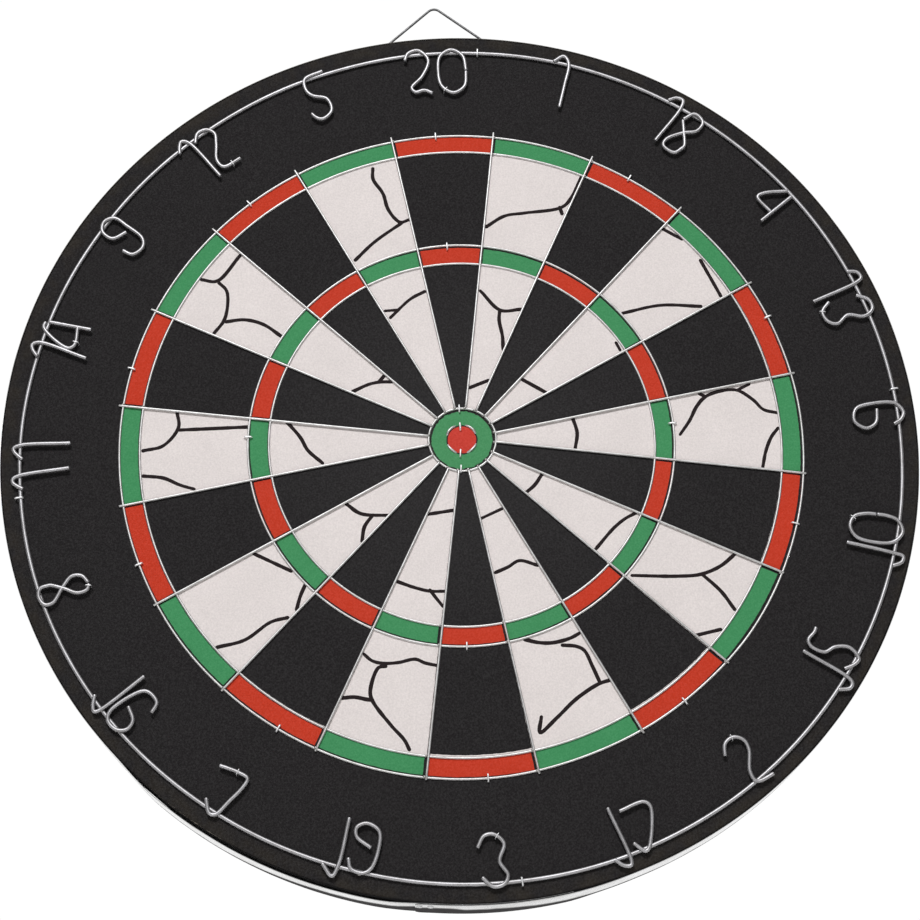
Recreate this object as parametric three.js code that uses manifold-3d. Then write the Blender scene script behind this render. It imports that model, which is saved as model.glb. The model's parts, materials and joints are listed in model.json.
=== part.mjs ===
// Steel-tip dartboard: a coil of wound paper behind a flocked face, held by a lapped steel band.
// A wire spider and a wire number ring are stapled to the face, and a wire bail hangs the board.
//
// Frame, in millimetres: +Z is up, the face looks along -Y, and +X is to the right of a player.
// The origin is the middle of the back, on the axis of the bull. Angles on the dial are in degrees
// clockwise from the top, as a player sees them.
import * as THREE from "three";
import { mergeVertices } from "three/addons/utils/BufferGeometryUtils.js";
import Module from "manifold-3d";

const wasm = await Module();
wasm.setup();

// Driving dimensions
const coreRadius = 228;
const boardThickness = 25;
const faceThickness = 1.2;
const backPaperThickness = 0.8;
const glueLine = 0.1;
const gap = 0.3;

const bandThickness = 0.6;
const bandLap = 18.5; // degrees of band that lie double
const bandRamp = 10; // degrees over which the outer end climbs onto the inner one
const bandSeam = 188.5; // dial angle of the outer end

const wireRadius = 0.6; // spider wires
const ringRadii = {
  double_outer: 170,
  double_inner: 160,
  treble_outer: 106,
  treble_inner: 96,
  outer_bull: 17.2,
  inner_bull: 7.5,
};
const largestBullRadius = 20;
const radialWireOverhang = 5.5; // past the outer double wire
const numberRingRadius = 219.5;
const numberWireRadius = 1.1;
const figureWireRadius = 1;
const weldDepth = 0.6; // how far a figure sinks into the number ring where it is welded

const stapleWire = 0.7; // thickness of a staple's square wire
const stapleCrown = 4.5;
const stapleLeg = 7; // length in the board

const bailWireRadius = 0.65;
const hingeRadius = 230.2; // height of the bail's pivot above the bull
const hingeSpread = 28; // from the board's middle to each lug
const bailApexHeight = 254.4;
const bailApexHalfWidth = 1.6;
const lugWireRadius = 0.9;
const lugWidth = 8;
const lugLeg = 12; // from the pivot down into the core
const eyePlay = 0.4; // between a lug and the bail's eye

const tackHeadRadius = 1.6;
const tackHeadHeight = 0.5;
const tackShankRadius = 0.6;
const tackLength = 9;
const tackFromFront = 6; // from the front edge of the band
const tackAngles = { left: 187.9, right: 186.6 }; // on the dial, near the band's outer end

// Fineness of the faceted surfaces: sides round a circle, and step lengths along a wire
const roundSides = 72;
const ringSides = 48;
const smallRingSides = 20;
const eyeSides = 14;
const tackSides = 12;
const wireSides = 6;
const figureSides = 4;
const bandStep = 5; // degrees
const figureStep = 3.5;
const bailStep = 2.6;
const lugStep = 1.4;

// Heights above the back, worked out from the front of the face
const coreBack = backPaperThickness + glueLine;
const coreFront = boardThickness - faceThickness - glueLine;
const ringHeight = gap + wireRadius;
const radialWireHeight = ringHeight + 2 * wireRadius + glueLine;
const numberRingHeight = gap + numberWireRadius;
const figureHeight = numberRingHeight + numberWireRadius + figureWireRadius - weldDepth;
const hingeDepth = boardThickness / 2;

const dialOrder = [20, 1, 18, 4, 13, 6, 10, 15, 2, 17, 3, 19, 7, 16, 8, 11, 14, 9, 12, 5];
const sectorAngle = 360 / dialOrder.length;

// The bent wires of each number, as points [clockwise, outward] in mm from where the middle of
// its sector crosses the number ring. Figures of the lower half stand upside down on the ring.
const figures = {
  20: [
    [[-17.5, -5], [-15.5, -0.5], [-10, 1], [-5, -5], [-8.5, -14.5], [-14.5, -21.5],
      [-12.5, -24], [-8, -23], [-3.5, -25]],
    [[14, -12.6], [12.5, -21.5], [7.5, -25], [2, -21], [0.5, -12], [2, -3], [7.5, 0.5],
      [12.5, -3.5], [14, -12.2]],
  ],
  1: [[[-6, -0.5], [-1.5, 4], [2, 0.5], [3, -13], [3.5, -26.5]]],
  18: [
    [[-10.5, 0.5], [-7.5, 4], [-4, 4.5], [-2.5, 0], [-4, -24]],
    [[2, -5], [5.5, 1], [11.5, -1], [11.5, -7], [6, -12], [0.5, -20], [1, -24], [8, -24.5],
      [10.5, -19]],
    [[10, -21], [10.5, -18.5], [6.5, -12], [2, -5.5]],
  ],
  4: [
    [[5, -23], [4.5, -1]],
    [[1, -0.5], [-6, -11], [-6.5, -15], [4.5, -15.5]],
  ],
  13: [
    [[-14.5, -2], [-12, 3], [-8.5, 3.5], [-7, 0], [-5, -25]],
    [[-0.5, -3], [4, 2], [9.5, 1.5], [11.5, -4], [8, -11.5], [10.5, -18.5], [7.5, -22.5],
      [2, -23], [-2, -17.5]],
  ],
  6: [
    [[-5.5, -10.5], [2, -12], [4.5, -17], [0.5, -22.5], [-6, -21], [-8.5, -12.5], [-8, -1],
      [-3, 2.5], [0.5, 1], [3, -3]],
  ],
  10: [
    [[-14.4, -12.2], [-13.5, -17], [-10.5, -22.5], [-5, -23.5], [-0.5, -19.5], [0, -10],
      [-2.5, -1.5], [-8.5, 2], [-14, -1.5], [-15, -7], [-14.5, -11.8]],
    [[3.5, -23.5], [3, 0.5], [3.5, 4.5], [6.5, 4.5], [9.5, 0.5]],
  ],
  15: [
    [[1, -23], [1.5, 4], [4.5, 5], [8.5, 0.5]],
    [[-12.5, -23.5], [-10, -23], [-5, -23.5], [-3, -21], [-4, -14], [-9, -11], [-12.5, -5],
      [-10, 1.5], [-6.5, 1], [-2, -2]],
  ],
  2: [
    [[4, -17.5], [0, -22], [-5, -22], [-8, -18], [-7, -13], [-0.5, -5], [0.5, 0], [-1, 1.5],
      [-8.5, 3]],
  ],
  17: [
    [[2.5, -23.5], [1.5, 3], [2.5, 5], [5.5, 4], [8.5, 0]],
    [[-2, -20], [-14.5, -20], [-16.5, -17], [-8.5, 0.5], [-6.5, 1.5], [-2.5, -4]],
  ],
  3: [
    [[4, -17], [0.5, -22.5], [-4, -23], [-8.5, -18.5], [-6, -10.5], [-9.5, -4], [-7.5, 0],
      [-2.5, 1], [2.5, -3.5]],
  ],
  19: [
    [[2.5, -24], [1.5, -2], [3, 4], [9, -0.5]],
    [[-11, -13], [-3, -16.5], [-2, -20.5], [-6, -23.5], [-12.5, -21.5], [-14.5, -13],
      [-13.5, -4], [-10.5, -1], [-4.5, -1.5], [-2, -6]],
  ],
  7: [
    [[6.5, -20], [-2.5, -22], [-8, -22], [-8.5, -17], [-7, -9], [-5, 0], [-2.5, 1], [3, -4]],
  ],
  16: [
    [[2, -25.5], [2, 0.5], [3, 3], [5.5, 2], [9.5, -2]],
    [[-14.5, -17.5], [-12, -22.5], [-5.5, -22.5], [-3, -20], [-1.5, -3], [-4.5, 0.5],
      [-10.5, 0], [-13.5, -4], [-12, -8.5], [-5, -11]],
  ],
  8: [
    [[-4, -24], [0.5, -22], [2, -17.5], [-1.5, -12], [-7.5, -5], [-7, -1], [-2, 0.5],
      [1.5, -1.5], [1.5, -6]],
    [[1.5, -4.5], [1.5, -6], [-2.5, -12], [-7, -17.5], [-7, -22.5], [-4.5, -24]],
  ],
  11: [
    [[8, -26], [8, -1], [6.5, 2], [4.5, 1.5], [0.5, -2.5]],
    [[-5, -25.5], [-8, -0.5], [-9.5, 2], [-11.5, 2], [-15, -3]],
  ],
  14: [
    [[7, -2], [8.5, -24]],
    [[6.5, -0.5], [3.5, -0.5], [-3, -11], [-4, -16.5], [-1.5, -18.5], [8, -17]],
    [[-7, -26.5], [-5, -0.5], [-7, 2], [-9.5, 1], [-12.5, -2.5]],
  ],
  9: [
    [[-8, -18.5], [-7, -24], [-1, -26], [3, -23], [4.5, -12], [4.5, -4], [0, -1], [-5, -3.5],
      [-5.5, -10], [1.5, -14]],
  ],
  12: [
    [[-5, -28.5], [-6.5, -2], [-9, 0.5], [-12, -2], [-14, -5]],
    [[-4, -5], [0.5, -1], [5.5, -2], [7.5, -6.5], [4.5, -12], [-1, -20], [-0.5, -25],
      [9.5, -26.5]],
  ],
  5: [
    [[6.5, 0], [-4, -1.5], [-5.5, -8], [-3.5, -12], [3, -16.5], [3, -24], [-3, -27], [-6, -25],
      [-7.5, -22]],
  ],
};

// Staples driven by hand: on the doubles and trebles, degrees clockwise of the sector's middle
const doubleStaples = {
  20: -1.4, 18: -1.7, 13: -2, 10: 0, 2: 0.4, 3: -1.1, 7: -2.2, 8: -1.6, 14: -2.3, 12: -1.2,
};
const trebleStaples = { 20: -0.8, 6: -1.6, 3: 1.7, 11: 3.4 };
const outerBullStaples = { top: -0.4, bottom: 183.5 };
const innerBullStaples = { top: -1.5, bottom: 186 };
const numberRingStaples = { top: 5.4, right: 86, bottom: 175.8, left: 264.7 };

const dartboard = new THREE.Group();

function addPart(name, geometry, colour, roughness, metalness) {
  const material = new THREE.MeshStandardMaterial({ color: colour, roughness, metalness });
  const mesh = new THREE.Mesh(geometry, material);
  mesh.name = name;
  dartboard.add(mesh);
  return mesh;
}

function addWire(name, geometry) {
  return addPart(name, geometry, 0xb9babd, 0.35, 0.9);
}

// A point on the dial, standing `height` in front of the face.
function onDial(clockwise, radius, height) {
  const angle = THREE.MathUtils.degToRad(clockwise);
  return new THREE.Vector3(
    radius * Math.sin(angle),
    -boardThickness - height,
    radius * Math.cos(angle),
  );
}

// The turn about Y that lays a piece's own X axis along the dial's radius at an angle.
function dialTurn(clockwise) {
  return THREE.MathUtils.degToRad(clockwise - 90);
}

// Booleans

function solid(geometry) {
  const bare = geometry.clone();
  bare.deleteAttribute("normal");
  bare.deleteAttribute("uv");
  const merged = mergeVertices(bare);
  const mesh = new wasm.Mesh({
    numProp: 3,
    vertProperties: new Float32Array(merged.getAttribute("position").array),
    triVerts: new Uint32Array(merged.index.array),
  });
  return new wasm.Manifold(mesh);
}

function joined(geometries) {
  let whole = solid(geometries[0]);
  for (const geometry of geometries.slice(1)) {
    whole = whole.add(solid(geometry));
  }
  return whole;
}

function geometryOf(manifold) {
  const mesh = manifold.getMesh();
  const geometry = new THREE.BufferGeometry();
  geometry.setAttribute("position", new THREE.BufferAttribute(mesh.vertProperties, 3));
  geometry.setIndex(new THREE.BufferAttribute(mesh.triVerts, 1));
  geometry.computeVertexNormals();
  return geometry;
}

// Wires

function roundSection(radius, sides) {
  const points = [];
  for (let side = 0; side < sides; side += 1) {
    const angle = (side / sides) * Math.PI * 2;
    points.push(new THREE.Vector2(radius * Math.cos(angle), radius * Math.sin(angle)));
  }
  return new THREE.Shape(points);
}

function wireAlong(path, radius, sides, stepLength) {
  const steps = Math.max(1, Math.round(path.getLength() / stepLength));
  return new THREE.ExtrudeGeometry(roundSection(radius, sides), {
    steps,
    extrudePath: path,
    bevelEnabled: false,
  });
}

// A route through corner points, each corner rounded over the length `bend`.
function bentPath(corners, bend) {
  const path = new THREE.CurvePath();
  let start = corners[0];
  for (let i = 1; i < corners.length - 1; i += 1) {
    const corner = corners[i];
    const before = corners[i - 1].clone().sub(corner).setLength(bend).add(corner);
    const after = corners[i + 1].clone().sub(corner).setLength(bend).add(corner);
    path.add(new THREE.LineCurve3(start, before));
    path.add(new THREE.QuadraticBezierCurve3(before, corner, after));
    start = after;
  }
  path.add(new THREE.LineCurve3(start, corners.at(-1)));
  return path;
}

function wireRing(radius, thickness, sides, height) {
  const ring = new THREE.TorusGeometry(radius, thickness, wireSides, sides);
  ring.rotateX(Math.PI / 2);
  ring.translate(0, -boardThickness - height, 0);
  return ring;
}

// Staples: a crown across the wire and two legs in the board, in a frame whose X runs along the
// crown, whose Y goes into the board and whose origin is on the face.

function stapleOutline(crownTop) {
  const outer = stapleCrown / 2;
  const inner = outer - stapleWire;
  const underCrown = stapleWire - crownTop;
  return new THREE.Shape([
    new THREE.Vector2(-outer, stapleLeg),
    new THREE.Vector2(-outer, -crownTop),
    new THREE.Vector2(outer, -crownTop),
    new THREE.Vector2(outer, stapleLeg),
    new THREE.Vector2(inner, stapleLeg),
    new THREE.Vector2(inner, underCrown),
    new THREE.Vector2(-inner, underCrown),
    new THREE.Vector2(-inner, stapleLeg),
  ]);
}

function stapleGeometry(wireHeight) {
  const crownTop = gap + wireHeight + glueLine + stapleWire;
  const geometry = new THREE.ExtrudeGeometry(stapleOutline(crownTop), {
    depth: stapleWire,
    bevelEnabled: false,
  });
  geometry.translate(0, 0, -stapleWire / 2);
  return geometry;
}

function legSlot(side) {
  const width = stapleWire + 2 * gap;
  const depth = stapleLeg + 2 * gap;
  const slot = new THREE.BoxGeometry(width, depth, width);
  slot.translate(side * (stapleCrown - stapleWire) / 2, depth / 2 - gap, 0);
  return slot;
}

const legSlots = [];

function addStaple(name, clockwise, radius, wireHeight) {
  const staple = addWire(name, stapleGeometry(wireHeight));
  staple.position.copy(onDial(clockwise, radius, 0));
  staple.rotation.y = dialTurn(clockwise);
  staple.updateMatrix();
  legSlots.push(legSlot(-1).applyMatrix4(staple.matrix));
  legSlots.push(legSlot(1).applyMatrix4(staple.matrix));
}

function addStaples() {
  const spiderWire = 2 * wireRadius;
  for (const [number, offset] of Object.entries(doubleStaples)) {
    const clockwise = dialOrder.indexOf(Number(number)) * sectorAngle + offset;
    addStaple(`staple_double_${number}`, clockwise, ringRadii.double_outer, spiderWire);
  }
  for (const [number, offset] of Object.entries(trebleStaples)) {
    const clockwise = dialOrder.indexOf(Number(number)) * sectorAngle + offset;
    addStaple(`staple_treble_${number}`, clockwise, ringRadii.treble_outer, spiderWire);
  }
  for (const [side, clockwise] of Object.entries(outerBullStaples)) {
    addStaple(`staple_outer_bull_${side}`, clockwise, ringRadii.outer_bull, spiderWire);
  }
  for (const [side, clockwise] of Object.entries(innerBullStaples)) {
    addStaple(`staple_inner_bull_${side}`, clockwise, ringRadii.inner_bull, spiderWire);
  }
  for (const [side, clockwise] of Object.entries(numberRingStaples)) {
    addStaple(`staple_number_ring_${side}`, clockwise, numberRingRadius, 2 * numberWireRadius);
  }
}

// Hanger: a bail whose eyes turn on the crowns of two lugs driven down through the band

function lugCorners(side, legEnd) {
  const inner = side * (hingeSpread - lugWidth / 2);
  const outer = side * (hingeSpread + lugWidth / 2);
  return [
    new THREE.Vector3(inner, -hingeDepth, legEnd),
    new THREE.Vector3(inner, -hingeDepth, hingeRadius),
    new THREE.Vector3(outer, -hingeDepth, hingeRadius),
    new THREE.Vector3(outer, -hingeDepth, legEnd),
  ];
}

function lugSlots(side) {
  const width = 2 * (lugWireRadius + gap);
  const slots = [];
  for (const edge of [-1, 1]) {
    const slot = new THREE.BoxGeometry(width, width, lugLeg + 2 * gap);
    slot.translate(
      side * hingeSpread + edge * lugWidth / 2,
      -hingeDepth,
      hingeRadius - lugLeg / 2,
    );
    slots.push(slot);
  }
  return slots;
}

function addLug(name, side) {
  const bend = 2 * lugWireRadius;
  const path = bentPath(lugCorners(side, hingeRadius - lugLeg), bend);
  addWire(name, wireAlong(path, lugWireRadius, wireSides, lugStep));
}

function bailEye(side) {
  const eyeRadius = lugWireRadius + eyePlay + bailWireRadius;
  const eye = new THREE.TorusGeometry(eyeRadius, bailWireRadius, wireSides, eyeSides);
  eye.rotateY(Math.PI / 2);
  eye.translate(side * hingeSpread, -hingeDepth, hingeRadius);
  return eye;
}

function addBail() {
  const eyeTop = hingeRadius + lugWireRadius + eyePlay + bailWireRadius;
  const corners = [
    new THREE.Vector3(-hingeSpread, -hingeDepth, eyeTop),
    new THREE.Vector3(-bailApexHalfWidth, -hingeDepth, bailApexHeight),
    new THREE.Vector3(bailApexHalfWidth, -hingeDepth, bailApexHeight),
    new THREE.Vector3(hingeSpread, -hingeDepth, eyeTop),
  ];
  const path = bentPath(corners, bailApexHalfWidth);
  const legs = wireAlong(path, bailWireRadius, wireSides, bailStep);
  addWire("hanger_bail", geometryOf(joined([legs, bailEye(-1), bailEye(1)])));
}

// Band: one strip round the core, whose outer end lies over the inner one at the seam

function bandInnerRadius(alongBand) {
  const lift = bandThickness + gap;
  const climb = THREE.MathUtils.smoothstep(alongBand, bandLap, bandLap + bandRamp);
  return coreRadius + gap + lift * (1 - climb);
}

function bandOutline() {
  const length = 360 + bandLap;
  const steps = Math.round(length / bandStep);
  const inside = [];
  const outside = [];
  for (let step = 0; step <= steps; step += 1) {
    const alongBand = (step / steps) * length;
    const angle = THREE.MathUtils.degToRad(90 - bandSeam + alongBand);
    const direction = new THREE.Vector2(Math.cos(angle), Math.sin(angle));
    const radius = bandInnerRadius(alongBand);
    inside.push(direction.clone().multiplyScalar(radius));
    outside.push(direction.clone().multiplyScalar(radius + bandThickness));
  }
  return new THREE.Shape([...outside, ...inside.reverse()]);
}

function bandStrip() {
  const strip = new THREE.ExtrudeGeometry(bandOutline(), {
    depth: boardThickness,
    bevelEnabled: false,
  });
  strip.rotateX(Math.PI / 2);
  return strip;
}

// Tacks: driven through both layers of the lap into the core

function tackGeometry() {
  const profile = [
    new THREE.Vector2(0, -tackLength),
    new THREE.Vector2(tackShankRadius, -tackLength),
    new THREE.Vector2(tackShankRadius, 0),
    new THREE.Vector2(tackHeadRadius, 0),
    new THREE.Vector2(tackHeadRadius, tackHeadHeight / 2),
    new THREE.Vector2(tackHeadRadius / 2, tackHeadHeight),
    new THREE.Vector2(0, tackHeadHeight),
  ];
  return new THREE.LatheGeometry(profile, tackSides);
}

const tackSeat = coreRadius + 3 * gap + 2 * bandThickness;

function tackPlacement(clockwise) {
  const outward = onDial(clockwise, 1, 0).setY(0);
  const turn = new THREE.Quaternion().setFromUnitVectors(new THREE.Vector3(0, 1, 0), outward);
  const seat = outward.clone().multiplyScalar(tackSeat).setY(tackFromFront - boardThickness);
  return new THREE.Matrix4().compose(seat, turn, new THREE.Vector3(1, 1, 1));
}

function addTacks() {
  for (const [side, clockwise] of Object.entries(tackAngles)) {
    const tack = addWire(`band_tack_${side}`, tackGeometry());
    tackPlacement(clockwise).decompose(tack.position, tack.quaternion, tack.scale);
  }
}

function tackHoles() {
  const radius = tackShankRadius + gap;
  const length = tackLength + gap;
  return Object.values(tackAngles).map((clockwise) => {
    const hole = new THREE.CylinderGeometry(radius, radius, length + gap, wireSides);
    hole.translate(0, -length / 2 + gap / 2, 0);
    return hole.applyMatrix4(tackPlacement(clockwise));
  });
}

// Board: back paper, coil, flocked face and band, cut for every staple, lug and tack

function disc(back, front) {
  const thickness = front - back;
  const geometry = new THREE.CylinderGeometry(coreRadius, coreRadius, thickness, roundSides);
  return geometry.translate(0, -(back + front) / 2, 0);
}

function addBoard() {
  const legCuts = joined(legSlots);
  const edgeCuts = joined([...lugSlots(-1), ...lugSlots(1), ...tackHoles()]);
  const core = solid(disc(coreBack, coreFront)).subtract(legCuts).subtract(edgeCuts);
  const face = solid(disc(boardThickness - faceThickness, boardThickness)).subtract(legCuts);
  addPart("paper_coil_core", geometryOf(core), 0x8b7355, 0.95, 0);
  addPart("flocked_face", geometryOf(face), 0x29272a, 0.95, 0);
  addPart("back_paper", disc(0, backPaperThickness), 0x3a3633, 0.9, 0);
  const band = solid(bandStrip()).subtract(edgeCuts);
  addPart("rim_band", geometryOf(band), 0xc9cbce, 0.25, 0.95);
}

// Spider: six rings on the face and twenty radial wires over them

function addSpider() {
  for (const [name, radius] of Object.entries(ringRadii)) {
    const sides = radius < largestBullRadius ? smallRingSides : ringSides;
    addWire(`ring_wire_${name}`, wireRing(radius, wireRadius, sides, ringHeight));
  }
  const start = ringRadii.outer_bull - wireRadius;
  const end = ringRadii.double_outer + radialWireOverhang;
  dialOrder.forEach((number, index) => {
    const next = dialOrder[(index + 1) % dialOrder.length];
    const clockwise = (index + 0.5) * sectorAngle;
    const wire = new THREE.CylinderGeometry(wireRadius, wireRadius, end - start, wireSides);
    wire.rotateZ(Math.PI / 2);
    const mesh = addWire(`radial_wire_${number}_${next}`, wire);
    mesh.position.copy(onDial(clockwise, (start + end) / 2, radialWireHeight));
    mesh.rotation.y = dialTurn(clockwise);
  });
}

// Number ring: a wire ring with the bent-wire figures welded on its front

function figureWires(number) {
  const clockwise = dialOrder.indexOf(number) * sectorAngle;
  const middle = onDial(clockwise, numberRingRadius, figureHeight);
  const outward = onDial(clockwise, 1, 0).setY(0);
  const sideways = onDial(clockwise + 90, 1, 0).setY(0);
  return figures[number].map((points) => {
    const route = points.map(([across, out]) =>
      middle.clone().addScaledVector(sideways, across).addScaledVector(outward, out));
    const path = new THREE.CatmullRomCurve3(route, false, "centripetal");
    return wireAlong(path, figureWireRadius, figureSides, figureStep);
  });
}

function addNumberRing() {
  const wires = [wireRing(numberRingRadius, numberWireRadius, roundSides, numberRingHeight)];
  for (const number of dialOrder) {
    wires.push(...figureWires(number));
  }
  addWire("number_ring", geometryOf(joined(wires)));
}

addStaples();
addBoard();
addSpider();
addNumberRing();
addTacks();
addLug("hanger_lug_left", -1);
addLug("hanger_lug_right", 1);
addBail();

export default dartboard;
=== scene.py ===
# Looks of a steel-tip dartboard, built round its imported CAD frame.
#
# Lengths are in millimetres until a mesh, light or camera is made. The frame is the CAD's: +Z is
# up, the face looks along -Y, +X is to a player's right and the origin is the middle of the back.
# Dial angles are in degrees clockwise from the top, as a player sees them.
import json
import math

import bpy
from mathutils import Matrix, Quaternion, Vector, noise
from mathutils.geometry import interpolate_bezier

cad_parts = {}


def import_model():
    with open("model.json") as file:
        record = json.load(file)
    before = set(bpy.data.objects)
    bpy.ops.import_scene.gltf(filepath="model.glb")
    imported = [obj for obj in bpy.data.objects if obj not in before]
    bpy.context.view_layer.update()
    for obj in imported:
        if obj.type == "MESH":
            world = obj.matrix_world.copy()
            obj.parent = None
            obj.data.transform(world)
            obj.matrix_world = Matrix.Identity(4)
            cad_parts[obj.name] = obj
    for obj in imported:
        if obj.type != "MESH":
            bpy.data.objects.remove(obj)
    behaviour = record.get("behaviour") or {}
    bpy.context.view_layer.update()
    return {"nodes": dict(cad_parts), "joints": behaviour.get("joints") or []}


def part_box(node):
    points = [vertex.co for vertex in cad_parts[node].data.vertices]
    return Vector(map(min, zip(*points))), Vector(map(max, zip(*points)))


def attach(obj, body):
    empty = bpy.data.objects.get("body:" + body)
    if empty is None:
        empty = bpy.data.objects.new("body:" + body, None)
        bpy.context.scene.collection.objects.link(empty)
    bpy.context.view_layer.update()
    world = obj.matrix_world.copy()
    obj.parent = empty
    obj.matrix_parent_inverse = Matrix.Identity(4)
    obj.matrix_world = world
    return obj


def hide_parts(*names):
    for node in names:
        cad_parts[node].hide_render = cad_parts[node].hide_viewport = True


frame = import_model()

MM = 0.001
FORWARD = Vector((0, -1, 0))

# Sizes that the CAD shares
DIAL_ORDER = (20, 1, 18, 4, 13, 6, 10, 15, 2, 17, 3, 19, 7, 16, 8, 11, 14, 9, 12, 5)
SECTOR = 360 / len(DIAL_ORDER)
WIRE_RADIUS = 0.6
NUMBER_WIRE_RADIUS = 1.0
FIGURE_WIRE_RADIUS = 0.95
WELD_DEPTH = 0.6
STAPLE_WIRE = 0.9
STAPLE_LEG = 7
BAIL_WIRE_RADIUS = 0.65
LUG_WIRE_RADIUS = 0.9
LUG_LEG = 12
EYE_PLAY = 0.4
BAIL_APEX_HALF_WIDTH = 1.6
BAND_SEAM = 188.5
BAND_LAP = 18.5
BAND_RAMP = 10


def node_box(node):
    """Lowest and highest corner of a CAD node."""
    low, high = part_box(node)
    return low / MM, high / MM


def node_middle(node):
    low, high = node_box(node)
    return (low + high) / 2


def ring_radius(node, wire_radius):
    return node_box(node)[1].x - wire_radius


# Sizes read from the frame
FACE_FRONT = node_box("flocked_face")[0].y
FACE_BACK = node_box("flocked_face")[1].y
FACE_RADIUS = node_box("flocked_face")[1].x
BACK_PAPER_FRONT = node_box("back_paper")[0].y
RING_RADII = {
    ring: ring_radius("ring_wire_" + ring, WIRE_RADIUS)
    for ring in ("double_outer", "double_inner", "treble_outer", "treble_inner",
                 "outer_bull", "inner_bull")
}
RING_RADII["outer_bull"] -= 0.7  # bent tighter than in the CAD
NUMBER_RING_RADIUS = 219.5

# How the wires lie on the flock: heights of their middles over the face
RING_HEIGHT = 0.3
RADIAL_HEIGHT = 0.75
NUMBER_RING_HEIGHT = 1.05
FIGURE_HEIGHT = NUMBER_RING_HEIGHT + NUMBER_WIRE_RADIUS + FIGURE_WIRE_RADIUS - WELD_DEPTH

# How the bail differs from the CAD's: slid to the left on its lugs, with a higher apex
BAIL_SLIDE = -0.8
BAIL_RISE = 0.6

# How far each hand-bent ring strays outward, in tenths of a millimetre, evenly round from the top
RING_STRAYS = {
    "double_outer": (-2, -2, -6, -2, 1, 5, 8, 10, -1, -5, 2, 3, 3, 4, -1, -3, -3, -4, -5, -3),
    "double_inner": (2, -1, -6, 0, -1, 2, -4, -3, -4, 0),
    "treble_outer": (4, 4, 2, 4, 4, 2, 4, 4, -2, -2),
    "treble_inner": (0, 2, 2, 8, 8, 4, -1, -2, -4, 2),
    "outer_bull": (-2, 4, 9, 7, 4, -1, -3, -4),
    "inner_bull": (2, 3, 4, 1, 0, -2, -2, 1),
    "number": (-4, 3, 2, -2, -5, -3, 2, 5, 6, 3, -4, -9, -8, -4, -3, -9, -19, -24, -23, -14),
}

# How far each radial wire strays clockwise, at the dial's middle and at the doubles, in the same
# tenths and from the wire between the 20 and the 1
RADIAL_STRAYS = (
    (6, -5), (9, -8), (8, -5), (3, 3), (4, 0), (-4, 0), (2, -6), (0, -7), (1, -5), (-1, -7),
    (-5, -9), (-5, -5), (-3, -5), (-6, -1), (2, 1), (-1, -6), (3, -2), (2, -1), (2, -4), (5, -6),
)

# How far each number's figures stray, clockwise and outward, in tenths and in dial order
FIGURE_STRAYS = (
    (-8, 2), (-11, 2), (-8, -2), (-2, -2), (2, 0), (7, -2), (0, 0), (9, 0), (3, 1), (2, 0),
    (-2, 2), (-5, 1), (-3, 0), (-10, -2), (-13, -1), (-10, 0), (-10, 0), (-9, 0), (-9, 0), (-5, 2),
)

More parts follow.
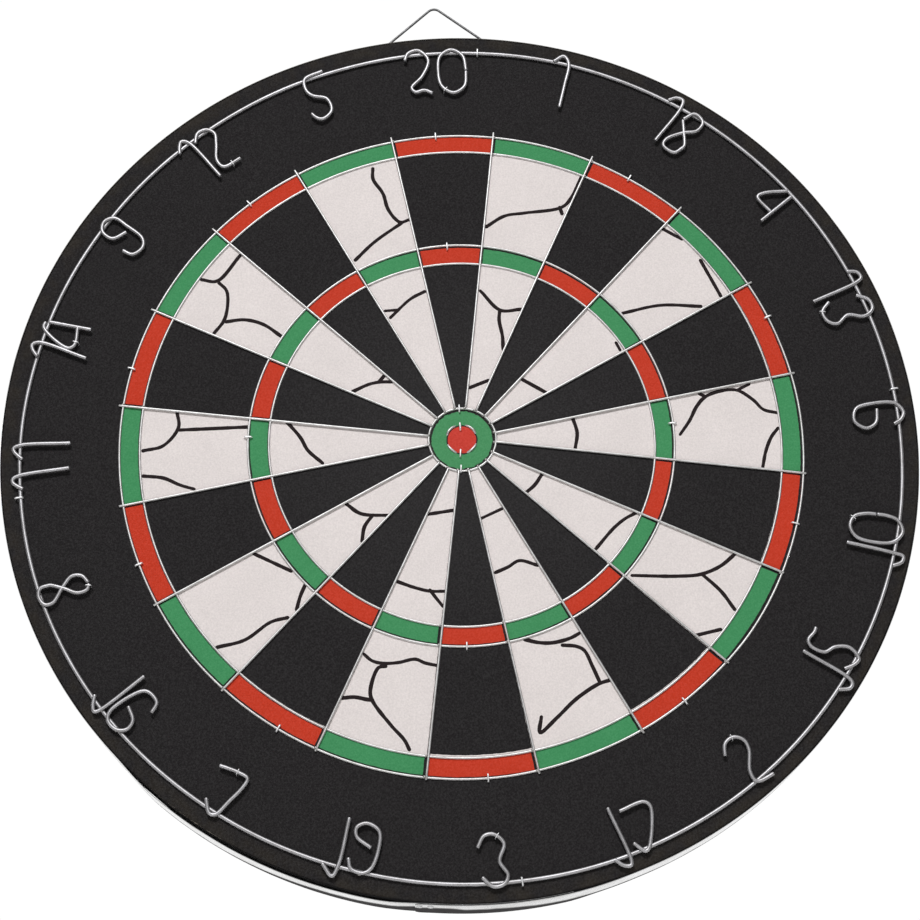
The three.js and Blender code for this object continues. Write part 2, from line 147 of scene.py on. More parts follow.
# The bent wires of each number, as points (clockwise, outward) from where the middle of its
# sector crosses the number ring, on nearly the same route as in the CAD
FIGURES = {
    20: [
        [(-17.5, -5), (-15.5, -0.5), (-10, 1), (-5, -5), (-8.5, -14.5), (-14.5, -21.5),
         (-12.5, -24), (-8, -23), (-3.5, -25)],
        [(14.8, -12.6), (13.4, -21.7), (7.5, -25.2), (1.5, -21), (0, -12), (1.5, -3), (7.5, 0.7),
         (13.4, -3.3), (14.8, -12.2)],
    ],
    1: [[(-6, -0.5), (-1.5, 4), (2, 0.5), (3, -13), (3.5, -26.5)]],
    18: [
        [(-10.5, 0.5), (-7.5, 4), (-4, 4.5), (-2.5, 0), (-4, -24)],
        [(2, -5), (5.5, 1), (11.5, -1), (11.5, -7), (6, -12), (0.5, -20), (1, -24), (8, -24.5),
         (10.5, -19)],
        [(10, -21), (10.5, -18.5), (6.5, -12), (2, -5.5)],
    ],
    4: [
        [(5, -23), (4.5, -1)],
        [(1, -0.5), (-6, -11), (-6.5, -15), (4.5, -15.5)],
    ],
    13: [
        [(-14.5, -2), (-12, 3), (-8.5, 3.5), (-7, 0), (-5, -25)],
        [(-0.5, -3), (4, 2), (9.5, 1.5), (11.5, -4), (8, -11.5), (10.5, -18.5), (7.5, -22.5),
         (2, -23), (-2, -17.5)],
    ],
    6: [[(-5.5, -10.5), (2, -12), (4.5, -17), (0.5, -22.5), (-6, -21), (-8.5, -12.5), (-8, -1),
         (-3, 2.5), (0.5, 1), (3, -3)]],
    10: [
        [(-14.4, -12.2), (-13.5, -17), (-10.5, -22.5), (-5, -23.5), (-0.5, -19.5), (0, -10),
         (-2.5, -1.5), (-8.5, 2), (-14, -1.5), (-15, -7), (-14.5, -11.8)],
        [(3.5, -23.5), (3, 0.5), (3.5, 4.5), (6.5, 4.5), (9.5, 0.5)],
    ],
    15: [
        [(1, -23), (1.5, 4), (4.5, 5), (8.5, 0.5)],
        [(-12.5, -23.5), (-10, -23), (-5, -23.5), (-3, -21), (-4, -14), (-9, -11), (-12.5, -5),
         (-10, 1.5), (-6.5, 1), (-2, -2)],
    ],
    2: [[(4, -17.5), (0, -22), (-5, -22), (-8, -18), (-7, -13), (-0.5, -5), (0.5, 0), (-1, 1.5),
         (-8.5, 3)]],
    17: [
        [(2.5, -23.5), (1.5, 3), (2.5, 5), (5.5, 4), (8.5, 0)],
        [(-2, -20), (-14.5, -20), (-16.5, -17), (-8.5, 0.5), (-6.5, 1.5), (-2.5, -4)],
    ],
    3: [[(4, -17), (0.5, -22.5), (-4, -23), (-8.5, -18.5), (-6, -10.5), (-9.5, -4), (-7.5, 0),
         (-2.5, 1), (2.5, -3.5)]],
    19: [
        [(2.5, -24), (1.5, -2), (3, 4), (9, -0.5)],
        [(-11, -13), (-3, -16.5), (-2, -20.5), (-6, -23.5), (-12.5, -21.5), (-14.5, -13),
         (-13.5, -4), (-10.5, -1), (-4.5, -1.5), (-2, -6)],
    ],
    7: [[(6.5, -20), (-2.5, -22), (-8, -22), (-8.5, -17), (-7, -9), (-5, 0), (-2.5, 1), (3, -4)]],
    16: [
        [(2, -25.5), (2, 0.5), (3, 3), (5.5, 2), (9.5, -2)],
        [(-14.5, -17.5), (-12, -22.5), (-5.5, -22.5), (-3, -20), (-1.5, -3), (-4.5, 0.5),
         (-10.5, 0), (-13.5, -4), (-12, -8.5), (-5, -11)],
    ],
    8: [
        [(-4, -24), (0.5, -22), (2, -17.5), (-1.5, -12), (-7.5, -5), (-7, -1), (-2, 0.5),
         (1.5, -1.5), (1.5, -6)],
        [(1.5, -4.5), (1.5, -6), (-2.5, -12), (-7, -17.5), (-7, -22.5), (-4.5, -24)],
    ],
    11: [
        [(8, -26), (8, -1), (6.5, 2), (4.5, 1.5), (0.5, -2.5)],
        [(-5, -25.5), (-8, -0.5), (-9.5, 2), (-11.5, 2), (-15, -3)],
    ],
    14: [
        [(7, -2), (8.5, -24)],
        [(6.5, -0.5), (3.5, -0.5), (-3, -11), (-4, -16.5), (-1.5, -18.5), (8, -17)],
        [(-7, -26.5), (-5, -0.5), (-7, 2), (-9.5, 1), (-12.5, -2.5)],
    ],
    9: [[(-8, -18.5), (-7, -24), (-1, -26), (3, -23), (4.5, -12), (4.5, -4), (0, -1), (-5, -3.5),
         (-5.5, -10), (1.5, -14)]],
    12: [
        [(-5, -28.5), (-6.5, -2), (-9, 0.5), (-12, -2), (-14, -5)],
        [(-4, -5), (0.5, -1), (5.5, -2), (7.5, -6.5), (4.5, -12), (-1, -20), (-0.5, -25),
         (9.5, -26.5)],
    ],
    5: [[(6.5, 0), (-4, -1.5), (-5.5, -8), (-3.5, -12), (3, -16.5), (3, -24), (-3, -27),
         (-6, -25), (-7.5, -22)]],
}

# Where a thin staple holds a figure down, as (clockwise, outward) like the figures
FIGURE_STAPLES = {
    20: (3.6, -23.4), 12: (4, -25.5), 14: (-0.3, -18.3), 8: (-5.3, -23.6), 7: (-2.8, -22),
    3: (-5.5, -22.2), 2: (-4.4, -22), 10: (-9.6, -23), 13: (2, -23),
}

# How much nearer the bull's middle these staples stand than in the CAD
BULL_STAPLE_SLIPS = {
    "staple_outer_bull_top": 0.9,
    "staple_outer_bull_bottom": 1.4,
    "staple_inner_bull_top": 0.8,
}

# The drawn cracks of the cream beds, as points (radius, degrees clockwise of the sector's middle)
CRACKS = {
    5: [
        [(157.5, 4.1), (151.5, 3.5), (142, 4.5), (133, 4.5), (126, 5.5), (123.5, 6.5), (124, 8.5)],
        [(112, -7.9), (117, -1.4), (123, 6.6)],
        [(82.5, 8), (80.5, 2.5), (75, -7.5)],
        [(79.5, -7.9), (77, -3.4)],
    ],
    1: [
        [(159.5, 8.4), (146, 8.3), (139, 7.3), (129.5, -0.1), (125.5, -4.5), (118, -8.5)],
        [(138.5, 6.9), (135.5, 7.9)],
        [(81.5, -7.9), (73, 1.1), (77, 8.4)],
        [(73, 0.8), (67.5, 1.8), (59.5, 5.8), (53, 8.8)],
        [(28, -6), (34.5, 8.5)],
    ],
    9: [
        [(60, -7.9), (55, -0.9), (51.5, 3.3), (46.5, 8.4)],
        [(51.5, 3.5), (51.5, 8.5)],
        [(158.5, 0.2), (151.5, 1.6), (151.5, 8.5)],
        [(150, 1.5), (144, 0.9), (136.5, -4.5), (137.5, -8.5)],
        [(135, -5), (127.5, -2.6), (118, -1.3), (106, -1.7)],
    ],
    4: [
        [(44.5, -7.5), (49.5, 8.5)],
        [(94.5, 5.5), (94, 8)],
        [(156.5, -9), (159, -5)],
        [(158, 0.5), (154.5, 8.5)],
        [(142.5, 8.4), (125.5, 3.4), (107.5, -0.7)],
    ],
    6: [
        [(57, -8.5), (58, -0.5), (57, 7.5)],
        [(109.5, 1.5), (115, -2.2), (119.5, -5.5), (125, -7.6), (133.5, -8.3), (141.5, -7.8),
         (148.5, -5.2), (152.5, -3.1), (159, -2.2)],
        [(125, -7.6), (122.5, -8.6)],
        [(141.5, -7.8), (148, -8.6)],
        [(158.5, 0.8), (155, 2.4), (152, 5.1), (150.5, 8.4)],
    ],
    15: [
        [(44, -8.6), (43.5, 0.5), (42.5, 7.5)],
        [(94, -8.8), (90.5, -5.7), (88, -1.3), (87, 7.8)],
        [(146.5, -9.1), (142.5, -5.6), (136, -2.1), (127, 0.9), (109, 7.3)],
        [(136.5, -2.2), (148.5, -1.1), (158.5, 0.5)],
        [(151.5, 8.5), (158.5, 5)],
    ],
    17: [
        [(42.5, 7.5), (41.5, -8)],
        [(71, 7.5), (70, 2), (69, -3), (75, -8.5)],
        [(107, 4.5), (110.5, 1.4), (113, -1.8), (114.5, -6.1), (114.5, -8.6)],
        [(116, -3.7), (119.5, -6.5), (123, -7.6), (131.5, -7.4), (139.5, -7.1)],
        [(141.5, -9), (140.5, -6.7), (142.5, -1.5), (147.5, 3), (152.5, 7), (145.5, 6)],
    ],
    19: [
        [(42.5, 7.5), (37.5, -8.6)],
        [(80, 7.9), (80, 1.8), (80, -3.7), (79, -8.9)],
        [(79.5, -3.9), (83, -6.5), (86.5, -8.9)],
        [(119.5, 8.1), (121, 5.9), (120.5, 3.4), (118, 0), (114.5, -3.8), (115.5, -6.1),
         (116, -8.9)],
        [(121.5, 2.5), (123, 3.9), (132.5, 4.1), (138, 3.3), (148, -1.7), (154, -4.8), (158, -5.9)],
        [(143, 8.4), (140.5, 6.4), (139.5, 3.9), (139, 3)],
    ],
    16: [
        [(66, 7.9), (63, 0.8), (53.5, -9.3)],
        [(59, -3.4), (66, -4.9), (72, -8.5)],
        [(117.5, 8.5), (107.5, -0.5)],
        [(107, -5.8), (112.5, -7), (118.5, -8.7)],
        [(124.5, -8.5), (131.5, -6.6), (146.5, -5.6), (158.5, -3.2)],
    ],
    11: [
        [(87.5, 9), (80, 3.5), (76.5, -1.4), (70, -7.4)],
        [(142.5, 8.5), (141, 5.5), (148, 1.6), (158, 0.7)],
        [(140.5, 4.9), (107, 6.4)],
        [(158.5, -4.1), (148.5, -5), (141, -6.9), (134.5, -8.3)],
    ],
}


# Geometry

def on_dial(clockwise, radius, height=0.0):
    """A point on the dial, standing `height` in front of the face."""
    angle = math.radians(clockwise)
    return Vector((radius * math.sin(angle), FACE_FRONT - height, radius * math.cos(angle)))


def outward(clockwise):
    """The unit vector away from the dial's middle at a dial angle."""
    angle = math.radians(clockwise)
    return Vector((math.sin(angle), 0, math.cos(angle)))


def dial_place(point):
    """(dial angle, radius) of a point."""
    return math.degrees(math.atan2(point.x, point.z)) % 360, math.hypot(point.x, point.z)


def sector_angle(number):
    return DIAL_ORDER.index(number) * SECTOR


def once_round(count):
    """Dial angles spaced evenly, once round."""
    return [360 * k / count for k in range(count)]


def turns(count):
    """Angles in radians spaced evenly, once round any axis."""
    return [2 * math.pi * k / count for k in range(count)]


def ripple(clockwise, lumps, seed):
    """Smooth noise round the dial, from about -1 to 1, that closes on itself."""
    angle = math.radians(clockwise)
    return noise.noise(Vector((lumps * math.cos(angle), lumps * math.sin(angle), seed)))


def ring_stray(ring, clockwise):
    """How far a ring strays outward at a dial angle."""
    strays = RING_STRAYS[ring]
    place = clockwise / 360 * len(strays)
    step = math.floor(place)
    here = strays[step % len(strays)]
    there = strays[(step + 1) % len(strays)]
    return (here + (there - here) * smooth_step(place - step)) / 10


def rim_swell(clockwise):
    """How far the board, not quite round about the dial, reaches past its drawn edge."""
    widest_at = -14  # degrees
    return max(-0.5, 0.78 * math.cos(math.radians(clockwise - widest_at)) - 0.17)


def smooth_step(value):
    share = min(max(value, 0), 1)
    return share * share * (3 - 2 * share)


def bump(value, start, end, soft):
    """1 between start and end, falling to 0 over `soft` outside them."""
    return smooth_step((value - start) / soft + 1) * smooth_step((end - value) / soft + 1)


def smooth_route(points, step):
    """Points about `step` apart on the centripetal Catmull-Rom curve through `points`."""
    first = 2 * points[0] - points[1]
    last = 2 * points[-1] - points[-2]
    knots = [first, *points, last]
    route = []
    for before, start, end, after in zip(knots, knots[1:], knots[2:], knots[3:]):
        g0, g1, g2 = (math.sqrt((b - a).length) for a, b in
                      ((before, start), (start, end), (end, after)))
        leave = (start - before) / g0 - (end - before) / (g0 + g1) + (end - start) / g1
        arrive = (end - start) / g1 - (after - start) / (g1 + g2) + (after - end) / g2
        count = max(3, round((end - start).length / step) + 1)
        piece = interpolate_bezier(start, start + leave * g1 / 3, end - arrive * g1 / 3, end, count)
        route += piece[:-1]
    return [*route, points[-1]]


def rounded_route(corners, bend, steps=6):
    """A route through corner points, each corner rounded over the length `bend`."""
    route = [corners[0]]
    for before, corner, after in zip(corners, corners[1:], corners[2:]):
        start = corner + (before - corner).normalized() * bend
        end = corner + (after - corner).normalized() * bend
        route += interpolate_bezier(start, start.lerp(corner, 2 / 3), end.lerp(corner, 2 / 3), end,
                                    steps)
    return [*route, corners[-1]]


class Shape:
    """Vertices and faces gathered for one mesh."""

    def __init__(self):
        self.vertices = []
        self.faces = []

    def skin(self, rows, looped=False, capped=True):
        """Adds a skin over closed rows of points. Looped joins the last row to the first."""
        start = len(self.vertices)
        width = len(rows[0])
        self.vertices += [point for row in rows for point in row]
        for i in range(len(rows) - (0 if looped else 1)):
            here = start + i * width
            there = start + (i + 1) % len(rows) * width
            for j in range(width):
                k = (j + 1) % width
                self.faces.append((here + j, here + k, there + k, there + j))
        if capped and not looped:
            self.faces.append(tuple(range(start + width - 1, start - 1, -1)))
            end = start + (len(rows) - 1) * width
            self.faces.append(tuple(range(end, end + width)))

    def wire(self, points, radius, sides=12, looped=False, normal=None):
        """Adds a wire along points, its cut ends slightly rounded."""
        count = len(points)
        rows = []
        normal = normal or (points[1] - points[0]).orthogonal()
        for i, point in enumerate(points):
            if looped:
                along = points[(i + 1) % count] - points[i - 1]
            else:
                along = points[min(i + 1, count - 1)] - points[max(i - 1, 0)]
            along.normalize()
            normal = (normal - along * normal.dot(along)).normalized()
            side = along.cross(normal)
            rounds = [(1.0, 0.0)]  # (share of the radius, step along in radii)
            if not looped and i == 0:
                rounds = [(0.66, 0.0), (0.9, 0.1), (1.0, 0.34)]
            if not looped and i == count - 1:
                rounds = [(1.0, -0.34), (0.9, -0.1), (0.66, 0.0)]
            for scale, shift in rounds:
                middle = point + along * shift * radius
                rows.append([
                    middle + scale * radius * (math.cos(turn) * normal + math.sin(turn) * side)
                    for turn in turns(sides)
                ])
        self.skin(rows, looped=looped)

    def blob(self, middle, across, up):
        """Adds a rounded lump with half-width `across` in the face plane and `up` out of it."""
        around, rings = 10, 5
        rows = []
        for i in range(rings + 1):
            polar = math.pi * (0.06 + 0.88 * i / rings)
            rows.append([
                middle + Vector((
                    across * math.sin(polar) * math.cos(turn),
                    up * math.cos(polar),
                    across * math.sin(polar) * math.sin(turn),
                ))
                for turn in turns(around)
            ])
        self.skin(rows)

    def turned(self, profile, sides, place):
        """Adds a profile of (radius, height) points turned about its own Z, put in `place`."""
        rows = []
        for radius, height in profile:
            rows.append([
                place @ Vector((radius * math.cos(turn), radius * math.sin(turn), height))
                for turn in turns(sides)
            ])
        self.skin(rows)


def make_piece(name, shape, paint, body="board", stands_for=(), crease=40):
    """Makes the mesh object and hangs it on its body."""
    mesh = bpy.data.meshes.new(name)
    mesh.from_pydata([point * MM for point in shape.vertices], [], shape.faces)
    mesh.validate()
    mesh.shade_smooth()
    mesh.set_sharp_from_angle(angle=math.radians(crease))
    mesh.materials.append(paint)
    piece = bpy.data.objects.new(name, mesh)
    bpy.context.scene.collection.objects.link(piece)
    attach(piece, body)
    if stands_for:
        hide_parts(*stands_for)


# Materials

def linear(red, green, blue):
    """A colour given as it shows on a screen, 0 to 255, in linear light."""
    def channel(value):
        share = value / 255
        return share / 12.92 if share <= 0.04045 else ((share + 0.055) / 1.055) ** 2.4
    return channel(red), channel(green), channel(blue), 1.0


class Nodes:
    """Adds nodes to a tree. Each method that makes a node returns its output socket."""

    def __init__(self, tree):
        self.tree = tree

    def feed(self, socket, value):
        if isinstance(value, bpy.types.NodeSocket):
            self.tree.links.new(value, socket)
        else:
            socket.default_value = value

    def node(self, kind, output=0, inputs=(), named=None, **settings):
        node = self.tree.nodes.new("ShaderNode" + kind)
        for setting, value in settings.items():
            setattr(node, setting, value)
        for socket, value in zip(node.inputs, inputs):
            self.feed(socket, value)
        for socket, value in (named or {}).items():
            self.feed(node.inputs[socket], value)
        return node.outputs[output]

    def math(self, operation, *values):
        return self.node("Math", inputs=values, operation=operation)

    def vector(self, operation, *values, **named):
        return self.node("VectorMath", inputs=values, named=named, operation=operation)

    def mix(self, share, first, second):
        return self.node("Mix", output=2, named={0: share, 6: first, 7: second}, data_type="RGBA")

    def split(self, vector):
        node = self.tree.nodes.new("ShaderNodeSeparateXYZ")
        self.feed(node.inputs[0], vector)
        return node.outputs

    def join(self, x, y, z):
        return self.node("CombineXYZ", inputs=(x, y, z))

    def ranged(self, value, low, high, out_low=0.0, out_high=1.0, smooth=False):
        kind = "SMOOTHSTEP" if smooth else "LINEAR"
        return self.node("MapRange", inputs=(value, low, high, out_low, out_high),
                         interpolation_type=kind)

    def above(self, value, edge, soft=0.12):
        """0 below the edge and 1 above it, with a soft change."""
        return self.ranged(value, edge - soft, edge + soft, smooth=True)

    def rest(self, share):
        """What is left of 1."""
        return self.math("SUBTRACT", 1.0, share)

    def both(self, first, second):
        return self.math("MULTIPLY", first, second)

    def within(self, value, low, high, soft=0.12):
        return self.both(self.above(value, low, soft), self.rest(self.above(value, high, soft)))

    def length(self, x, z):
        """How far a point x across and z up is from the middle."""
        return self.math("SQRT", self.math("ADD", self.math("MULTIPLY", x, x),
                                           self.math("MULTIPLY", z, z)))


class Paint(Nodes):
    """A node material in the making, whose `place` is in millimetres."""

    def __init__(self, name, **surface):
        self.material = bpy.data.materials.new(name)
        self.material.use_nodes = True
        super().__init__(self.material.node_tree)
        self.shader = self.tree.nodes["Principled BSDF"]
        for socket, value in surface.items():
            self.shader.inputs[socket.replace("_", " ")].default_value = value
        object_place = self.node("TexCoord", output="Object")
        self.place = self.vector("SCALE", object_place, Scale=1 / MM)

    def noise(self, size, detail=2.0, place=None, output=0, roughness=0.5):
        """Noise whose lumps are about `size` millimetres across."""
        return self.node("TexNoise", output=output, named={
            "Vector": place or self.place,
            "Scale": 1 / size,
            "Detail": detail,
            "Roughness": roughness,
        })

    def relief(self, height, depth):
        """Uses `height`, from 0 to 1, as a relief `depth` millimetres deep."""
        normal = self.node("Bump", named={
            "Height": height, "Strength": 1.0, "Distance": depth * MM,
        })
        self.feed(self.shader.inputs["Normal"], normal)

    def finish(self, colour, roughness=None):
        self.feed(self.shader.inputs["Base Color"], colour)
        if roughness is not None:
            self.feed(self.shader.inputs["Roughness"], roughness)
        return self.material


BED_BLACK = linear(33, 31, 32)
BED_CREAM = linear(225, 217, 215)
BED_RED = linear(194, 57, 35)
BED_GREEN = linear(65, 141, 91)
BULL_RED = linear(197, 58, 45)
BULL_GREEN = linear(69, 141, 91)
EDGE_BROWN = linear(42, 38, 34)
# a pale tone for a painted highlight along part of the face's edge
PAINTED_GLINT_TONE = linear(215, 205, 190)
PRINT_EDGE = 0.9  # black left between a coloured bed and the wire outside it
PRINT_GAP = 1.0  # and between the bed and a radial wire


def dial_paint():
    """The printed flock: beds, doubles, trebles and bull, with a soft edge and a fibre grain."""
    paint = Paint("printed_flock", Roughness=0.95, Specular_IOR_Level=0.12)
    drift = paint.vector("SUBTRACT", paint.noise(2.2, output="Color"), (0.5, 0.5, 0.5))
    place = paint.vector("MULTIPLY_ADD", drift, (0.5, 0.5, 0.5), paint.place)
    x, _, z = paint.split(place)
    radius = paint.length(x, z)
    sectors = len(DIAL_ORDER)
    angle = paint.math("ARCTAN2", x, z)
    turn = paint.math("MULTIPLY_ADD", angle, sectors / (2 * math.pi), 0.5)
    dark_sector = paint.math("LESS_THAN", paint.math("FRACT", paint.math("MULTIPLY", turn, 0.5)),
                             0.5)
    from_wire = paint.math("MULTIPLY", paint.math("PINGPONG", turn, 0.5),
                           paint.math("MULTIPLY", radius, 2 * math.pi / sectors))

    bed_edge = 159.6
    bed_rise = 0.8  # the black beds are printed a little high
    bed_radius = paint.length(x, paint.math("SUBTRACT", z, bed_rise))
    in_bed = paint.rest(paint.above(bed_radius, bed_edge))
    colour = paint.mix(paint.both(dark_sector, in_bed), BED_CREAM, BED_BLACK)

    border_edge = 165  # the black border starts under the doubles
    colour = paint.mix(paint.above(radius, border_edge), colour, BED_BLACK)
    clear_of_wire = paint.above(from_wire, PRINT_GAP)
    bright = paint.mix(dark_sector, BED_GREEN, BED_RED)
    for ring in ("double", "treble"):
        inner = RING_RADII[ring + "_inner"]
        outer = RING_RADII[ring + "_outer"]
        colour = paint.mix(paint.within(radius, inner + 0.2, outer + 0.3), colour, BED_BLACK)
        bed = paint.both(paint.within(radius, inner + 0.5, outer - PRINT_EDGE), clear_of_wire)
        colour = paint.mix(bed, colour, bright)

    bull = RING_RADII["outer_bull"]
    eye = RING_RADII["inner_bull"]
    bull_aside, bull_drop = 0.35, 0.3  # the bull is printed a little low and to the right
    bull_radius = paint.length(paint.math("SUBTRACT", x, bull_aside),
                               paint.math("ADD", z, bull_drop))
    # Black from the bull's wire in to a ragged edge of the green: print, and painted shade of the
    # wire on the green.
    colour = paint.mix(paint.above(bull_radius, bull + 0.7), BED_BLACK, colour)
    ragged = paint.math("MULTIPLY_ADD", paint.noise(2.4), 1.6, bull_radius)
    colour = paint.mix(paint.above(ragged, bull - 0.6), BULL_GREEN, colour)
    # The black ring under the eye's wire is print, and painted shade of the groove where that wire
    # sinks into the flock.
    colour = paint.mix(paint.above(bull_radius, eye + 0.3), BED_BLACK, colour)
    colour = paint.mix(paint.above(bull_radius, eye - 0.4), BULL_RED, colour)

    brown = paint.both(paint.above(radius, 222, 3.5), paint.ranged(paint.noise(9), 0.35, 0.65))
    colour = paint.mix(brown, colour, EDGE_BROWN)
    glint_from, glint_to = 212.5, 224  # dial angles between which a pale line is painted along the edge as a highlight
    glint_arc = paint.within(angle, math.radians(glint_from - 360), math.radians(glint_to - 360), 0.01)
    # Painted highlight: a pale line along the face's edge stands in for a glint there.
    painted_glint = paint.both(glint_arc, paint.within(radius, FACE_RADIUS - 0.5, FACE_RADIUS + 0.2))
    colour = paint.mix(painted_glint, colour, PAINTED_GLINT_TONE)

    grain = paint.noise(0.9, roughness=0.7)
    cloud = paint.noise(24)
    lift = paint.math("ADD", paint.ranged(grain, 0.3, 0.7, 0.93, 1.07),
                      paint.ranged(cloud, 0.3, 0.7, -0.02, 0.02))
    colour = paint.vector("SCALE", colour, Scale=lift)
    wear = paint.ranged(radius, 35, 120, 0.007, 0.0)  # paler where most darts land
    lint = paint.math("ADD", paint.ranged(grain, 0.4, 0.75, 0.0, 0.018), wear)
    colour = paint.vector("ADD", colour, paint.join(lint, lint, lint))
    fibres = paint.noise(0.22)
    pile = paint.math("ADD", paint.math("MULTIPLY", fibres, 0.6),
                      paint.math("MULTIPLY", grain, 0.4))
    paint.relief(pile, 0.12)
    return paint.finish(colour)


def ink_paint():
    """The black line of the drawn cracks."""
    paint = Paint("crack_ink", Roughness=0.9, Specular_IOR_Level=0.2)
    patch = paint.noise(1.2, detail=3.0)
    paint.relief(paint.noise(0.3), 0.05)
    return paint.finish(paint.mix(patch, linear(27, 20, 21), linear(42, 33, 34)))


def metal_paint(name, colour, dull, roughness, mottle, scratch):
    """Drawn or rolled metal: mottled with `dull` in lumps of `mottle`, with fine scratches."""
    paint = Paint(name, Metallic=1.0)
    patch = paint.ranged(paint.noise(mottle, detail=3.0, roughness=0.6), 0.35, 0.75)
    fine = paint.noise(scratch)
    tone = paint.mix(patch, colour, dull)
    paint.relief(fine, 0.02)
    gloss = paint.math("MULTIPLY_ADD", fine, 0.14, roughness - 0.07)
    return paint.finish(tone, gloss)


def band_paint():
    """Bright rolled strip with streaks that run round it, with painted shade along its back margin
    that reaches further forward by the lap and the tacks.
    """
    paint = Paint("bright_band", Specular_IOR_Level=0.1)
    x, y, z = paint.split(paint.place)
    angle = paint.math("ARCTAN2", x, z)
    along = paint.math("MULTIPLY", angle, 6.0)
    streak_place = paint.join(along, paint.math("MULTIPLY", y, 2.4), 0.0)
    streaks = paint.noise(1.0, detail=4.0, place=streak_place, roughness=0.65)
    smudge_and_shade_edge = paint.noise(14, detail=3.0)
    tone = paint.mix(paint.ranged(smudge_and_shade_edge, 0.35, 0.7), linear(236, 236, 237), linear(214, 213, 212))
    tone = paint.mix(paint.ranged(streaks, 0.55, 0.8, 0.0, 0.5), tone, linear(176, 175, 175))
    lower = paint.math("LESS_THAN", z, 0.0)
    by_lap = paint.both(lower, paint.within(x, -96, 34, 34))
    by_tacks = paint.both(lower, paint.within(x, -38, -14, 5))
    # how many millimetres further forward the painted shade of the back margin comes at each of them
    reach = paint.math("MULTIPLY_ADD", by_lap, 9.0, paint.math("MULTIPLY_ADD", smudge_and_shade_edge, 4.0, y))
    reach = paint.math("MULTIPLY_ADD", by_tacks, 3.5, reach)
    # Painted shade: the back margin is painted a dull dark grey where the band's back edge lies in
    # shade.
    painted_shade_back = paint.above(reach, -2.0, 2.5)
    tone = paint.mix(painted_shade_back, tone, linear(58, 56, 57))
    cut_edge = paint.rest(paint.above(y, FACE_FRONT + 0.35, 0.2))
    cut_edge = paint.both(cut_edge, paint.above(z, 40, 40))
    tone = paint.mix(cut_edge, tone, linear(120, 116, 110))
    dull = paint.math("MAXIMUM", painted_shade_back, cut_edge)
    paint.feed(paint.shader.inputs["Metallic"], paint.rest(dull))
    paint.relief(streaks, 0.03)
    gloss = paint.math("MULTIPLY_ADD", streaks, 0.25, 0.1)
    return paint.finish(tone, paint.math("MULTIPLY_ADD", dull, 0.6, gloss))


def wound_paper_paint():
    """Raw edges of the wound paper strip, stained black round its rim, which also stands in for the
    shade in the gap under the band.
    """
    paint = Paint("wound_paper", Roughness=0.95)
    x, _, z = paint.split(paint.place)
    radius = paint.length(x, z)
    turns = paint.math("SINE", paint.math("MULTIPLY_ADD", radius, 9.0,
                                          paint.math("MULTIPLY", paint.noise(6), 5.0)))
    paint.relief(turns, 0.1)
    tone = paint.mix(paint.ranged(turns, -1.0, 1.0), linear(134, 108, 80), linear(172, 148, 116))
    # Black round the rim: a stain, and painted shade of the gap behind the band.
    tone = paint.mix(paint.above(radius, FACE_RADIUS - 1.5), tone, BED_BLACK)
    return paint.finish(tone)


def back_paper_paint():
    """Dark glazed backing paper, through which the turns of the coil show."""
    paint = Paint("backing_paper", Roughness=0.6)
    x, _, z = paint.split(paint.place)
    radius = paint.length(x, z)
    wander = paint.math("MULTIPLY", paint.noise(30), 7.0)
    turns = paint.math("SINE", paint.math("MULTIPLY_ADD", radius, 2.1, wander))
    fibre = paint.noise(0.5, detail=3.0)
    rub = paint.both(paint.ranged(turns, 0.2, 1.0), paint.ranged(paint.noise(12), 0.45, 0.7))
    tone = paint.mix(fibre, linear(48, 44, 42), linear(66, 61, 58))
    tone = paint.mix(paint.math("MULTIPLY", rub, 0.5), tone, linear(96, 88, 80))
    height = paint.math("MULTIPLY_ADD", turns, 0.3, paint.math("MULTIPLY", fibre, 0.25))
    paint.relief(height, 0.15)
    gloss = paint.ranged(rub, 0.0, 1.0, 0.62, 0.45)
    return paint.finish(tone, gloss)


def floor_paint():
    paint = Paint("studio_floor", Roughness=0.7)
    return paint.finish(paint.mix(paint.noise(180), (0.78, 0.78, 0.77, 1), (0.82, 0.82, 0.81, 1)))


# Name, colour, dull colour, roughness, and the sizes of the mottling and the scratches
SPIDER = metal_paint("spider_wire", linear(214, 213, 213), linear(188, 186, 184), 0.5, 5, 0.25)
NUMBER = metal_paint("number_wire", linear(188, 187, 190), linear(164, 162, 163), 0.5, 6, 0.3)
STAPLE = metal_paint("staple_wire", linear(250, 250, 251), linear(232, 232, 234), 0.5, 3, 0.2)
WELD = metal_paint("weld_metal", linear(188, 186, 184), linear(120, 114, 110), 0.42, 1, 0.2)
HANGER = metal_paint("hanger_wire", linear(104, 104, 105), linear(78, 77, 77), 0.4, 5, 0.3)
LUG = metal_paint("lug_wire", linear(190, 190, 192), linear(150, 148, 147), 0.34, 4, 0.3)
TACK = metal_paint("tack_metal", linear(238, 238, 240), linear(205, 205, 207), 0.22, 2, 0.2)


# Board

